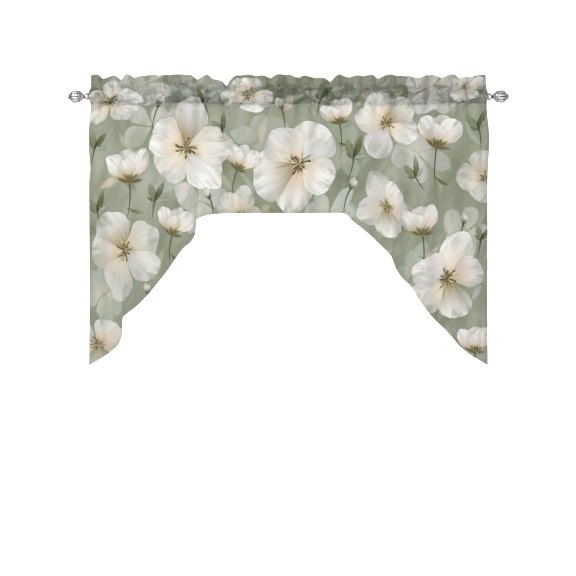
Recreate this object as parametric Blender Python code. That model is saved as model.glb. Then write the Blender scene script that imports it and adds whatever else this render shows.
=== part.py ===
"""A swag and tail drape gathered on a slim metal curtain rod with two fluted finials.

The drape is one panel of printed cloth. Its top is folded over and sewn twice, which gives a
standing frill and, below it, the pocket that the rod runs through. The lower edge is cut as an
arch, high in the middle and running down to a pointed tail at each side.

Metres. +X runs along the rod to the right, +Z is up and the front faces -Y. The origin is on the
rod's axis, midway along it.
"""

import math

import bmesh
import bpy
from mathutils import Vector

# ---- Driving sizes -------------------------------------------------------------------------

DRAPE_WIDTH = 1.254  # gathered, measured along the rod
FRILL_TOP = 0.069  # the frill's top edge above the rod's axis
UPPER_SEAM = 0.031  # the seam between frill and pocket
LOWER_SEAM = -0.0245  # the seam that closes the pocket
CLOTH = 0.0012  # one layer of cloth
FRILL_SPREAD = 1.35  # the frill's folds open towards its top edge by this factor

ROD_RADIUS = 0.0095
SEAT_GAP = 0.0004  # between the cloth and the rod it hangs on
FIT_GAP = 0.0003  # between the rod's end and the finial it sits in

COLLAR_FACE = 0.629  # from the middle of the rod to the inner face of each finial's collar
SOCKET_DEPTH = 0.008
SOCKET_RADIUS = ROD_RADIUS + FIT_GAP

PUCKER_REACH = 0.050  # below the pocket the small puckers fade over this depth
FLUTE_START = 0.090  # and the wide flutes grow over this one
HEM_FOLD_POWER = 2.2  # how late, going down, the folds at the hem begin

# ---- Tables --------------------------------------------------------------------------------

# The tucks that the shirring makes, from left to right: where each lies along the rod, how far
# the frill's top edge dips there, and how far back the cloth is drawn.
TUCKS = [
    # across, dip, drawn back
    (-0.627, 0.000, 0.0030),
    (-0.590, 0.013, 0.0065),
    (-0.529, 0.014, 0.0070),
    (-0.488, 0.008, 0.0055),
    (-0.432, 0.004, 0.0045),
    (-0.374, 0.003, 0.0050),
    (-0.322, 0.004, 0.0045),
    (-0.287, 0.017, 0.0075),
    (-0.243, 0.007, 0.0050),
    (-0.194, 0.033, 0.0090),
    (-0.150, 0.006, 0.0050),
    (-0.104, 0.004, 0.0055),
    (-0.054, 0.015, 0.0075),
    (-0.008, 0.004, 0.0045),
    (0.036, 0.005, 0.0055),
    (0.082, 0.008, 0.0050),
    (0.128, 0.017, 0.0070),
    (0.194, 0.007, 0.0055),
    (0.236, 0.004, 0.0045),
    (0.277, 0.014, 0.0070),
    (0.338, 0.006, 0.0055),
    (0.402, 0.010, 0.0065),
    (0.441, 0.006, 0.0045),
    (0.481, 0.009, 0.0060),
    (0.538, 0.009, 0.0060),
    (0.570, 0.010, 0.0055),
    (0.627, 0.000, 0.0030),
]

# The wide flutes of the hanging cloth: where each trough starts along the rod, and how deep it
# is near the pocket and at the hem.
FLUTES = [
    # across, depth near the pocket, depth at the hem
    (-0.627, 0.002, 0.003),
    (-0.566, 0.003, 0.006),
    (-0.452, 0.003, 0.007),
    (-0.370, 0.005, 0.006),
    (-0.276, 0.003, 0.005),
    (-0.180, 0.004, 0.003),
    (-0.052, 0.003, 0.003),
    (0.030, 0.006, 0.004),
    (0.090, 0.005, 0.003),
    (0.206, 0.003, 0.004),
    (0.300, 0.003, 0.005),
    (0.384, 0.005, 0.007),
    (0.474, 0.003, 0.008),
    (0.560, 0.003, 0.006),
    (0.627, 0.002, 0.003),
]

# The lower edge as it hangs, from the left tail's tip to the right one's. Depth is how far that
# point lies behind the rod's axis, and less than zero is in front of it.
HEM = [
    # across, drop below the rod's axis, depth
    (-0.628, 0.845, 0.002),
    (-0.590, 0.824, -0.004),
    (-0.557, 0.801, -0.010),
    (-0.534, 0.779, -0.013),
    (-0.522, 0.746, -0.006),
    (-0.528, 0.707, 0.012),
    (-0.519, 0.693, 0.015),
    (-0.475, 0.656, 0.010),
    (-0.434, 0.614, 0.002),
    (-0.391, 0.561, -0.003),
    (-0.333, 0.481, -0.008),
    (-0.306, 0.456, -0.012),
    (-0.293, 0.429, -0.008),
    (-0.297, 0.396, 0.006),
    (-0.281, 0.381, 0.008),
    (-0.233, 0.370, 0.004),
    (-0.160, 0.367, 0.000),
    (0.000, 0.367, 0.000),
    (0.130, 0.366, 0.003),
    (0.182, 0.369, 0.005),
    (0.200, 0.388, 0.002),
    (0.250, 0.430, -0.004),
    (0.301, 0.478, -0.009),
    (0.323, 0.503, -0.008),
    (0.339, 0.542, 0.003),
    (0.360, 0.571, 0.007),
    (0.387, 0.597, 0.003),
    (0.416, 0.646, -0.002),
    (0.456, 0.696, 0.003),
    (0.496, 0.735, 0.005),
    (0.537, 0.783, -0.004),
    (0.577, 0.815, -0.008),
    (0.628, 0.845, -0.004),
]
STEEP_CUT = 2.0  # a hem steeper than this is cloth that a fold has turned edge-on

# How far the two side edges stand out from the drape's half width, by height.
SIDES = [
    # height, left edge outwards, right edge outwards
    (0.069, -0.005, -0.006),
    (0.031, -0.006, -0.004),
    (0.004, 0.001, 0.000),
    (-0.025, -0.005, -0.003),
    (-0.120, 0.003, 0.007),
    (-0.175, 0.001, 0.006),
    (-0.225, -0.004, 0.003),
    (-0.270, 0.001, 0.001),
    (-0.500, -0.001, 0.001),
    (-0.770, -0.004, -0.003),
    (-0.845, 0.000, 0.000),
]
SIDE_REACH = 0.16  # how far into the cloth the side edges' waves are felt

# The pocket around the rod, seen from its end: the height of each station, the half depth of the
# tunnel there, how much of a seam's own sway it shares, and how much of the puckers.
POCKET = [
    # height, half depth, share of the seam's sway, share of the puckers
    (0.0210, 0.0062, 0.55, 0.6),
    (0.0120, 0.0092, 0.10, 0.9),
    (0.0045, ROD_RADIUS + SEAT_GAP + 0.0003, 0.0, 1.0),
    (-0.0045, ROD_RADIUS + SEAT_GAP, 0.0, 1.0),
    (-0.0150, 0.0070, 0.45, 0.7),
]

FRILL_SHARES = (1.0, 0.5)  # rows of the frill above the upper seam, from its top edge down
BODY_SHARES = (0.035, 0.085, 0.155, 0.25, 0.37, 0.52, 0.68, 0.84, 1.0)
STEPS_PER_TUCK = 4

# One finial as it is turned, from its collar outwards: distance from the collar's inner face,
# radius, and how deep the flutes are cut as a share of that radius.
FINIAL = [
    # along, radius, flute
    (0.0000, 0.0106, 0.00),
    (0.0014, 0.0114, 0.00),
    (0.0060, 0.0118, 0.00),
    (0.0106, 0.0110, 0.00),
    (0.0130, 0.0084, 0.00),
    (0.0150, 0.0058, 0.00),
    (0.0170, 0.0064, 0.04),
    (0.0225, 0.0122, 0.10),
    (0.0285, 0.0168, 0.08),
    (0.0294, 0.0176, 0.00),
    (0.0332, 0.0176, 0.00),
    (0.0342, 0.0172, 0.10),
    (0.0400, 0.0193, 0.13),
    (0.0460, 0.0187, 0.13),
    (0.0520, 0.0152, 0.13),
    (0.0570, 0.0104, 0.11),
    (0.0596, 0.0078, 0.00),
    (0.0634, 0.0073, 0.00),
    (0.0646, 0.0026, 0.00),
    (0.0672, 0.0022, 0.00),
]
FINIAL_LENGTH = 0.0680
FLUTE_COUNT = 12
STEPS_PER_FLUTE = 3  # a groove and the two shoulders of a rib
ROD_SIDES = FLUTE_COUNT * STEPS_PER_FLUTE

# ---- Small tools ---------------------------------------------------------------------------


def blend(low, high, share):
    return low + (high - low) * share


def ease(share):
    """0 to 1 with a level start and end."""
    share = min(max(share, 0.0), 1.0)
    return share * share * (3.0 - 2.0 * share)


def smooth(knots, values, at):
    """The value at a place on a smooth curve through the knots, which rise."""
    last = len(knots) - 1
    at = min(max(at, knots[0]), knots[last])
    i = next(k for k in range(last) if at <= knots[k + 1])
    slopes = []
    for k in (i, i + 1):
        below, above = max(k - 1, 0), min(k + 1, last)
        slopes.append((values[above] - values[below]) / (knots[above] - knots[below]))
    span = knots[i + 1] - knots[i]
    t = (at - knots[i]) / span
    start = values[i] * (2 * t**3 - 3 * t**2 + 1) + slopes[0] * span * (t**3 - 2 * t**2 + t)
    end = values[i + 1] * (3 * t**2 - 2 * t**3) + slopes[1] * span * (t**3 - t**2)
    return start + end


def between(table, at):
    """The rows of the table on both sides of a place along the rod, and the share between them."""
    i = next(k for k in range(len(table) - 1) if at <= table[k + 1][0] or k == len(table) - 2)
    low, high = table[i], table[i + 1]
    return low, high, (at - low[0]) / (high[0] - low[0])


def ripple(low_depth, high_depth, share):
    """A trough at each end and a crest as high as they are deep between them."""
    return blend(low_depth, high_depth, ease(share)) * math.cos(2.0 * math.pi * share)


# ---- The hanging cloth ---------------------------------------------------------------------


def hem_runs():
    """How far along the cloth each row of HEM lies, as shares of the drape's width."""
    runs = [0.0]
    for (x0, drop0, _), (x1, drop1, _) in zip(HEM, HEM[1:]):
        runs.append(runs[-1] + max(abs(x1 - x0), abs(drop1 - drop0) / STEEP_CUT))
    return [run / runs[-1] for run in runs]


HEM_RUNS = hem_runs()


def hem_point(share):
    """Across, drop and depth of the lower edge, at a share of the cloth's width."""
    return [smooth(HEM_RUNS, [row[k] for row in HEM], share) for k in range(3)]


def side_wave(share, height):
    """How far a point is carried sideways by the waves of the nearer side edge."""
    from_left, from_right = share * DRAPE_WIDTH, (1.0 - share) * DRAPE_WIDTH
    heights = [-row[0] for row in SIDES]
    left = smooth(heights, [row[1] for row in SIDES], -height) * ease(1.0 - from_left / SIDE_REACH)
    right = smooth(heights, [row[2] for row in SIDES], -height) * ease(1.0 - from_right / SIDE_REACH)
    return right - left


def pucker(across):
    """How far the shirring draws the cloth back at a place along the rod."""
    low, high, share = between(TUCKS, across)
    return ripple(low[2], high[2], share)


def dip(across):
    """How far the frill's top edge sags at a place along the rod."""
    low, high, share = between(TUCKS, across)
    return blend(low[1], high[1], ease(share)) * abs(math.cos(math.pi * share)) ** 1.5


def flute(across, share_down):
    """How far back the wide flutes bring the hanging cloth."""
    low, high, share = between(FLUTES, across)
    return ripple(blend(low[1], low[2], share_down), blend(high[1], high[2], share_down), share)


def frill_point(share, up):
    """A point of the frill: up is 0 at the upper seam and 1 at the top edge."""
    across = blend(-0.5, 0.5, share) * DRAPE_WIDTH
    height = blend(UPPER_SEAM, FRILL_TOP - dip(across), up)
    depth = pucker(across) * blend(0.8, FRILL_SPREAD, up)
    return Vector((across + side_wave(share, height), depth, height))


def pocket_point(share, station, side):
    """A point of the pocket's wall: side is -1 for the front and 1 for the back."""
    height, half_depth, sway, puckers = station
    across = blend(-0.5, 0.5, share) * DRAPE_WIDTH
    drawn = pucker(across)
    slack = max(-drawn, 0.0) if side < 0 else max(drawn, 0.0) * 0.6
    depth = side * (half_depth + CLOTH / 2 + slack * puckers) + drawn * sway * 0.8
    return Vector((across + side_wave(share, height), depth, height))


def body_point(share, down):
    """A point of the hanging cloth: down is 0 at the lower seam and 1 at the hem."""
    seam_across = blend(-0.5, 0.5, share) * DRAPE_WIDTH
    hem_across, hem_drop, hem_depth = hem_point(share)
    height = blend(LOWER_SEAM, -hem_drop, down)
    below = LOWER_SEAM - height
    depth = pucker(seam_across) * 0.8 * math.exp(-((below / PUCKER_REACH) ** 1.3))
    depth += flute(seam_across, down) * ease(below / FLUTE_START)
    depth += hem_depth * down**HEM_FOLD_POWER
    across = blend(seam_across, hem_across, down**HEM_FOLD_POWER)
    across += side_wave(share, height) * (1.0 - down)
    return Vector((across, depth, height))


def column_shares():
    """Where the columns of the cloth's mesh stand: at each tuck, and evenly between two tucks."""
    shares = []
    for low, high in zip(TUCKS, TUCKS[1:]):
        for step in range(STEPS_PER_TUCK):
            across = blend(low[0], high[0], step / STEPS_PER_TUCK)
            shares.append(across / DRAPE_WIDTH + 0.5)
    return shares + [1.0]


def column_points(share, side):
    """The middle of the cloth down one column, through the front or the back of the pocket."""
    points = [frill_point(share, up) for up in FRILL_SHARES]
    points.append(frill_point(share, 0.0))
    points += [pocket_point(share, station, side) for station in POCKET]
    points += [body_point(share, down) for down in (0.0, *BODY_SHARES)]
    return points


def grid_normals(grid):
    """The direction square to a grid of points at each of them, towards the front."""
    last_column, last_row = len(grid) - 1, len(grid[0]) - 1
    normals = []
    for c, column in enumerate(grid):
        along = [
            grid[min(c + 1, last_column)][r] - grid[max(c - 1, 0)][r] for r in range(last_row + 1)
        ]
        down = [column[min(r + 1, last_row)] - column[max(r - 1, 0)] for r in range(last_row + 1)]
        normals.append([d.cross(a).normalized() for a, d in zip(along, down)])
    return normals


def layers_off(grid, normals, thicknesses, side):
    """The grid moved half its thickness out of the cloth's middle, to one side."""
    return [
        [p + n * (side * t / 2) for p, n, t in zip(column, normal_column, thicknesses)]
        for column, normal_column in zip(grid, normals)
    ]


def make_drape():
    """The whole panel as one solid, with the tunnel that the rod runs through."""
    shares = column_shares()
    upper = len(FRILL_SHARES)
    lower = upper + len(POCKET) + 1
    pocket_rows = range(upper + 1, lower)
    row_count = lower + 1 + len(BODY_SHARES)
    # The frill and both seams are two layers thick, and every other row is one.
    thicknesses = [2 * CLOTH if r <= upper or r == lower else CLOTH for r in range(row_count)]

    front_grid = [column_points(share, -1) for share in shares]
    back_grid = [column_points(share, 1) for share in shares]
    front_normals, back_normals = grid_normals(front_grid), grid_normals(back_grid)
    front = layers_off(front_grid, front_normals, thicknesses, 1)
    back = layers_off(back_grid, back_normals, thicknesses, -1)
    front_inner = layers_off(front_grid, front_normals, thicknesses, -1)
    back_inner = layers_off(back_grid, back_normals, thicknesses, 1)

    shape = bmesh.new()

    def new_column(points):
        return [shape.verts.new(p) for p in points]

    outer_front = [new_column(column) for column in front]
    outer_back = [new_column(column) for column in back]
    # Down the tunnel: the upper seam, the pocket's rows and the lower seam, where both walls meet.
    tunnel_front, tunnel_back = [], []
    for c in range(len(shares)):
        top = shape.verts.new(front_grid[c][upper])
        foot = shape.verts.new(front_grid[c][lower])
        tunnel_front.append([top, *new_column(front_inner[c][r] for r in pocket_rows), foot])
        tunnel_back.append([top, *new_column(back_inner[c][r] for r in pocket_rows), foot])

    for c in range(len(shares) - 1):
        for grid in (outer_front, outer_back, tunnel_front, tunnel_back):
            for r in range(len(grid[0]) - 1):
                shape.faces.new((grid[c][r], grid[c + 1][r], grid[c + 1][r + 1], grid[c][r + 1]))
        for r in (0, row_count - 1):
            shape.faces.new(
                (outer_front[c][r], outer_front[c + 1][r], outer_back[c + 1][r], outer_back[c][r])
            )

    for c in (0, len(shares) - 1):
        walls = ((outer_front[c], tunnel_front[c]), (outer_back[c], tunnel_back[c]))
        shape.faces.new(
            [*walls[0][0][: upper + 1], tunnel_front[c][0], *reversed(walls[1][0][: upper + 1])]
        )
        for outer, tunnel in walls:
            for k in range(len(tunnel) - 1):
                shape.faces.new(
                    (outer[upper + k], outer[upper + k + 1], tunnel[k + 1], tunnel[k])
                )
        shape.faces.new(
            (
                tunnel_front[c][-1],
                outer_front[c][lower],
                outer_front[c][lower + 1],
                outer_back[c][lower + 1],
                outer_back[c][lower],
            )
        )
        for r in range(lower + 1, row_count - 1):
            shape.faces.new(
                (outer_front[c][r], outer_front[c][r + 1], outer_back[c][r + 1], outer_back[c][r])
            )
    return shape


# ---- The rod and its finials ---------------------------------------------------------------


def make_rod():
    """A plain round rod, which ends inside the two finials' sockets."""
    shape = bmesh.new()
    length = 2 * (COLLAR_FACE + SOCKET_DEPTH - FIT_GAP)
    bmesh.ops.create_cone(
        shape,
        cap_ends=True,
        segments=ROD_SIDES,
        radius1=ROD_RADIUS,
        radius2=ROD_RADIUS,
        depth=length,
    )
    for vert in shape.verts:
        vert.co = Vector((vert.co.z, vert.co.x, vert.co.y))
    return shape


def make_finial():
    """One finial along +X: a socket and collar, a fluted cup, a band, a fluted bulb and a nub."""
    shape = bmesh.new()
    around = FLUTE_COUNT * STEPS_PER_FLUTE
    socket = [(SOCKET_DEPTH, SOCKET_RADIUS, 0.0), (0.0, SOCKET_RADIUS, 0.0)]
    rings = []
    for along, radius, cut in socket + FINIAL:
        ring = []
        for step in range(around):
            angle = 2.0 * math.pi * step / around
            in_groove = step % STEPS_PER_FLUTE == 0
            reach = radius * (1.0 - cut) if in_groove else radius
            ring.append(
                shape.verts.new((along, reach * math.cos(angle), reach * math.sin(angle)))
            )
        rings.append(ring)
    for ring, outer_ring in zip(rings, rings[1:]):
        for step in range(around):
            after = (step + 1) % around
            shape.faces.new((ring[step], ring[after], outer_ring[after], outer_ring[step]))
    for ring, along in ((rings[0], SOCKET_DEPTH), (rings[-1], FINIAL_LENGTH)):
        pole = shape.verts.new((along, 0.0, 0.0))
        for step in range(around):
            shape.faces.new((ring[step], ring[(step + 1) % around], pole))
    return shape


# ---- Putting the object together -----------------------------------------------------------


def make_material(name, colour, roughness, metallic):
    material = bpy.data.materials.new(name)
    material.use_nodes = True
    shader = material.node_tree.nodes["Principled BSDF"]
    shader.inputs["Base Color"].default_value = (*colour, 1.0)
    shader.inputs["Roughness"].default_value = roughness
    shader.inputs["Metallic"].default_value = metallic
    return material


def add_object(name, shape, material, crease_degrees):
    """Turns a finished shape into a named object with its faces pointing out."""
    shape.normal_update()
    bmesh.ops.recalc_face_normals(shape, faces=shape.faces)
    mesh = bpy.data.meshes.new(name)
    shape.to_mesh(mesh)
    shape.free()
    mesh.materials.append(material)
    mesh.shade_smooth()
    mesh.set_sharp_from_angle(angle=math.radians(crease_degrees))
    made = bpy.data.objects.new(name, mesh)
    bpy.context.scene.collection.objects.link(made)
    return made


def main():
    for old in list(bpy.data.objects):
        bpy.data.objects.remove(old)

    cloth = make_material("printed_cloth", (0.42, 0.48, 0.38), 0.85, 0.0)
    metal = make_material("bright_metal", (0.78, 0.79, 0.80), 0.12, 1.0)

    add_object("drape", make_drape(), cloth, 80)
    add_object("rod", make_rod(), metal, 40)
    right = add_object("finial_right", make_finial(), metal, 40)
    right.location = (COLLAR_FACE, 0.0, 0.0)
    left = bpy.data.objects.new("finial_left", right.data)
    left.location = (-COLLAR_FACE, 0.0, 0.0)
    left.rotation_euler = (0.0, 0.0, math.pi)
    bpy.context.scene.collection.objects.link(left)


main()
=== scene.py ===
"""The looks of a swag and tail drape on its curtain rod: printed cloth, sewing, rod and finials."""

import math
from collections import namedtuple

import bmesh
import bpy
import numpy as np
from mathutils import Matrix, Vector


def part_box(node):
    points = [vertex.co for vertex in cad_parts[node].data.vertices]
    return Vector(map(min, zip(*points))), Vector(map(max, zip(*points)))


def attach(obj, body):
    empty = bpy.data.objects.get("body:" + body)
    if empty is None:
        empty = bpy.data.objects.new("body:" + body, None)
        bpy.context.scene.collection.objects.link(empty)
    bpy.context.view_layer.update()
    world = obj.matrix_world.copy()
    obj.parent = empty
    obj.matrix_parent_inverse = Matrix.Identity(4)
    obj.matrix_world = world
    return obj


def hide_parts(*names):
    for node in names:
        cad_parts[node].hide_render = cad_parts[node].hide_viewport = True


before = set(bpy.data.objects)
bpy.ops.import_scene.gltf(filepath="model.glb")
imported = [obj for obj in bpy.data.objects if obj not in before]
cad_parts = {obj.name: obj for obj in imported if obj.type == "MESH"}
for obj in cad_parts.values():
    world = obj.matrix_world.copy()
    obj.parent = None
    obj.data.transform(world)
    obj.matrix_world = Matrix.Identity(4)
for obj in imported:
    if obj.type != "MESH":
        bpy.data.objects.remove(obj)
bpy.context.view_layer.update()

# ---- The cloth panel, as it hangs ----
# One panel of light printed cotton, a standard 54 inch width. Its top is turned to the back and
# sewn twice, which gives a frill and a pocket for the rod. Its lower edge is cut as an arch
# between two pointed tails, and that edge and both sides are hemmed.

FLAT_WIDTH = 1.37
HUNG_WIDTH = 1.254
CLOTH = 0.0005
SIDE_BY_SIDE = 0.0002  # the air between two layers that lie on each other
HEM_WIDTH = 0.012
HEM_THICKNESS = 0.0013  # three layers
CREASE_LIMIT = 0.0088  # no small crease stands out further
SEAM_TUCK = 0.8  # the share of its depth that a tuck has at a seam
EDGE_TUCK = 1.35  # and at the frill's edge
BACK_SLACK = 0.6  # the pocket's back wall swells by this share of what its front does
PINCH_REACH = 0.010  # the tucks' sharp pinch softens over this far below the pocket
PUCKER_REACH = 0.045  # and their puckers run out over this far
FLUTE_START = 0.090  # the wide flutes have their full depth this far below it
HEM_SWING, HEM_SHIFT = 3.5, 2.8  # powers of the way down: how late the hem's own line is felt
SIDE_REACH = 0.16  # the waves of a side edge move the cloth over this far in
SIDE_CURL = 0.0038  # how far back the side edges turn
CURL_REACH = 0.0055

frill_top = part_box("drape")[1].z
rod_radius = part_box("rod")[1].z
upper_seam = 0.031
lower_seam = -0.0245
frill_height = frill_top - upper_seam
flap = 0.009  # the turned-over top ends this far below the lower seam


def metres(table):
    """A table that is written in millimetres."""
    return np.array(table) / 1000


# The frill's top edge: across, and its height over the rod's axis.
FRILL_EDGE = metres([
    (-627, 68), (-614, 69.4), (-604, 68.8), (-597, 65), (-590, 57.5), (-584, 57.2), (-572, 61),
    (-560, 64), (-549, 66.2), (-541, 62.5), (-534, 57.4), (-528, 55.8), (-522, 58), (-514, 67.5),
    (-503, 68.8), (-490, 62.7), (-484, 60.8), (-465, 62.9), (-450, 65), (-436, 69.4), (-420, 69.5),
    (-406, 65.6), (-390, 69.3), (-366, 69), (-345, 69.6), (-320, 69.6), (-306, 67.6), (-295, 60),
    (-287, 55.4), (-276, 58.8), (-266, 65), (-254, 69), (-245, 62.7), (-237, 56.4), (-222, 51.5),
    (-208, 46.8), (-194, 36.6), (-187, 47.5), (-175, 57.5), (-167, 65.2), (-150, 67.8),
    (-120, 68.8), (-100, 66), (-76, 65.2), (-56, 58.9), (-46, 63.5), (-34, 69.4), (-14, 69.4),
    (10, 67), (21, 61.4), (33, 61.4), (50, 66.2), (66, 62.8), (90, 59.4), (108, 59.2), (124, 53),
    (132, 48), (140, 55), (148, 62.5), (159, 69.2), (171, 66.6), (182, 62.8), (196, 62.4),
    (212, 65.6), (240, 65.8), (262, 68.6), (272, 64.5), (284, 56.5), (296, 62.2), (312, 68.6),
    (328, 69.6), (345, 66.6), (372, 63.8), (394, 62.6), (404, 60.1), (418, 60.3), (430, 66.8),
    (453, 68), (466, 65.2), (482, 60), (498, 66.2), (516, 69.6), (528, 68), (541, 61), (550, 60.4),
    (562, 64), (576, 61.8), (592, 65.3), (616, 69), (627, 69),
])

# Across, and how far the shirring draws the cloth back there.
TUCKS = metres([
    (-627, 3), (-590, 6.5), (-529, 7), (-488, 5.5), (-432, 4.5), (-374, 5), (-322, 4.5),
    (-287, 7.5), (-243, 5), (-194, 9), (-150, 5), (-104, 5.5), (-54, 7.5), (-8, 4.5), (36, 5.5),
    (82, 5), (128, 7), (194, 5.5), (236, 4.5), (277, 7), (338, 5.5), (402, 6.5), (441, 4.5),
    (481, 6), (538, 6), (570, 5.5), (627, 3),
])

# Across, depth of the wide flute near the pocket, depth at the hem.
FLUTES = metres([
    (-627, 2, 3), (-566, 3, 6), (-452, 3, 7), (-370, 5, 6), (-276, 3, 5), (-180, 4, 3), (-52, 3, 3),
    (30, 6, 4), (90, 5, 3), (206, 3, 4), (300, 3, 5), (384, 5, 7), (474, 3, 8), (560, 3, 6),
    (627, 2, 3),
])

# The hanging hem: across, drop below the rod, depth behind the rod's axis.
HEM = metres([
    (-628, 845, 2), (-590, 824, -4), (-557, 801, -6), (-534, 779, -4), (-522, 746, -1),
    (-522.5, 707, 1), (-519, 693, 3), (-475, 656, 6), (-434, 614, 2), (-391, 561, -3),
    (-333, 481, -6), (-306, 456, -5), (-293, 429, -2), (-294, 396, 1), (-281, 381, 2),
    (-233, 370, 3), (-160, 367, 0), (0, 367, 0), (130, 366, 3), (182, 369, 5), (200, 388, 2),
    (250, 430, -4), (301, 478, -9), (323, 503, -8), (339, 542, 3), (360, 571, 7), (387, 597, 3),
    (416, 646, -2), (456, 696, 3), (496, 735, 5), (537, 783, -4), (577, 815, -8), (628, 845, -4),
])
STEEP_CUT = 3.2  # a hem steeper than this is cloth that a fold has turned edge-on

# Height, and how far the left and the right edge stand out there.
SIDES = metres([
    (-845, 0, 0), (-770, -4, -3), (-500, -1, 1), (-270, 1, 1), (-225, -4, 3), (-175, 1, 6),
    (-120, 3, 7), (-25, -5, -3), (4, 1, 0), (31, -6, -4), (69, -5, -6),
])

# The pocket's wall: height, distance from the rod's axis, share of the seam's sway, of the tucks.
POCKET = np.array([
    (lower_seam, 0.0006, 1.00, 0.00),
    (-0.0180, 0.0028, 0.70, 0.50),
    (-0.0110, 0.0066, 0.25, 0.85),
    (-0.0045, rod_radius + 0.0002, 0.00, 1.00),
    (0.0030, rod_radius + 0.0014, 0.00, 1.00),
    (0.0110, 0.0114, 0.05, 1.00),
    (0.0190, 0.0100, 0.30, 0.80),
    (0.0255, 0.0064, 0.60, 0.50),
    (upper_seam, 0.0006, 1.00, 0.00),
])


def blend(low, high, share):
    return low + (high - low) * share


def ease(share):
    """0 to 1 with a level start and end."""
    share = np.clip(share, 0.0, 1.0)
    return share * share * (3.0 - 2.0 * share)


def smooth(knots, values, at):
    """Values on a smooth curve through the knots, which rise."""
    last = len(knots) - 1
    order = np.arange(last + 1)
    below, above = np.maximum(order - 1, 0), np.minimum(order + 1, last)
    slopes = (values[above] - values[below]) / (knots[above] - knots[below])
    at = np.clip(at, knots[0], knots[last])
    i = np.clip(np.searchsorted(knots, at, side="right") - 1, 0, last - 1)
    span = knots[i + 1] - knots[i]
    t = (at - knots[i]) / span
    start = values[i] * (2 * t**3 - 3 * t**2 + 1) + slopes[i] * span * (t**3 - 2 * t**2 + t)
    end = values[i + 1] * (3 * t**2 - 2 * t**3) + slopes[i + 1] * span * (t**3 - t**2)
    return start + end


def curves(table, at):
    """Every later column of a table, as a smooth curve over its first one, which rises."""
    return [smooth(table[:, 0], column, at) for column in table.T[1:]]


def between(table, across):
    """For places along the rod, the table's rows on both sides and the share between them."""
    low = np.clip(np.searchsorted(table[:, 0], across, side="right") - 1, 0, len(table) - 2)
    share = (across - table[low, 0]) / (table[low + 1, 0] - table[low, 0])
    return table[low], table[low + 1], share


def side_wave(across, height):
    """How far a point is carried sideways by the waves of the nearer side edge."""
    left, right = curves(SIDES, height)
    near_left = ease(1.0 - (across + HUNG_WIDTH / 2) / SIDE_REACH)
    near_right = ease(1.0 - (HUNG_WIDTH / 2 - across) / SIDE_REACH)
    return right * near_right - left * near_left


# Folds and small creases that the sewing and the shirring leave round the pocket: how many, the
# ranges of length and width, the spread of their lean in radians, and how far they stand out.
rng = np.random.default_rng(11)
creases = []
for number, length, width, lean, stand in (
    (84, (0.014, 0.030), (0.0060, 0.0095), 0.80, (0.0036, 0.0090)),
    (60, (0.014, 0.026), (0.0055, 0.0085), 0.80, (-0.0075, -0.0030)),
    (130, (0.007, 0.016), (0.0034, 0.0055), 0.70, (0.0010, 0.0032)),
):
    across = rng.uniform(-0.62, 0.62, number)
    height = rng.choice((0.054, 0.036, 0.020, 0.004, -0.010, -0.024), number)
    height += rng.normal(0.0, 0.004, number)
    lengths, widths = rng.uniform(*length, number), rng.uniform(*width, number)
    leans, stands = rng.normal(0.0, lean, number), rng.uniform(*stand, number)
    creases.extend(zip(across, height, lengths, widths, leans, stands))


def crease_relief(across, height):
    """How far the small creases bring the cloth forward."""
    relief = np.zeros(np.broadcast(across, height).shape)
    for x, z, length, width, lean, stand in creases:
        dx, dz = across - x, height - z
        along = dx * math.sin(lean) + dz * math.cos(lean)
        aside = dx * math.cos(lean) - dz * math.sin(lean)
        relief += stand * np.exp(-((along / length) ** 2) - (aside / width) ** 2)
    return CREASE_LIMIT * np.tanh(relief / CREASE_LIMIT)


# The grid's columns, close together at the side hems, and its rows.
EDGE_STEPS = np.array((0.0, 0.0012, 0.006, 0.0108, HEM_WIDTH, 0.0155))
INNER_COLUMNS = 316
FLAP_ROWS = 3
POCKET_ROWS = 18
BACK_FRILL = np.linspace(0, 1, 12)[:, None]
FRONT_FRILL = np.linspace(1, 0, 16)[:, None]
BODY_ROWS = 71
MEETING_ROWS = 9  # over these below the lower seam, the front comes back to the middle
MOST_STRETCH = 2.4  # the hem's rows lie no further apart than this, where its edge is steep
END_SPREAD = 2.4  # the turned-over end lies this much further off than where it is sewn
edge_shares = EDGE_STEPS / HUNG_WIDTH
inner_shares = np.linspace(edge_shares[-1], 1 - edge_shares[-1], INNER_COLUMNS + 2)[1:-1]
shares = np.concatenate((edge_shares, inner_shares, 1 - edge_shares[::-1]))
seam_across = (shares - 0.5) * HUNG_WIDTH
column_edge = np.minimum(shares, 1 - shares) * HUNG_WIDTH

# From one tuck to the next the cloth swells out round, and at each tuck it is pinched sharply.
tuck_low, tuck_high, tuck_share = between(TUCKS, seam_across)
draw = blend(tuck_low[:, 1], tuck_high[:, 1], ease(tuck_share))
drawn_back = draw * (1 - 2 * np.abs(np.sin(math.pi * tuck_share)) ** 0.85)
drawn_soft = draw * np.cos(2 * math.pi * tuck_share)
curl = SIDE_CURL * np.exp(-((column_edge / CURL_REACH) ** 2))
frill_edge = curves(FRILL_EDGE, seam_across)[0]
hem_steps = np.maximum(np.abs(np.diff(HEM[:, 0])), np.abs(np.diff(HEM[:, 1])) / STEEP_CUT)
hem_runs = np.concatenate(([0.0], np.cumsum(hem_steps)))
hem_across, hem_drop, hem_depth = (smooth(hem_runs / hem_runs[-1], column, shares) for column in HEM.T)


def grid_points(across, depth, height):
    """A grid of points, from what varies over its rows, its columns or both."""
    return np.stack(np.broadcast_arrays(across, depth, height), 2)


def frill_rows(up):
    """The frill's middle: up runs from 0 at the upper seam to 1 at its top edge."""
    height = blend(upper_seam, frill_edge - CLOTH, up)
    depth = drawn_back * blend(SEAM_TUCK, EDGE_TUCK, up) - crease_relief(seam_across, height) + curl
    return grid_points(seam_across + side_wave(seam_across, height), depth, height)


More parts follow.
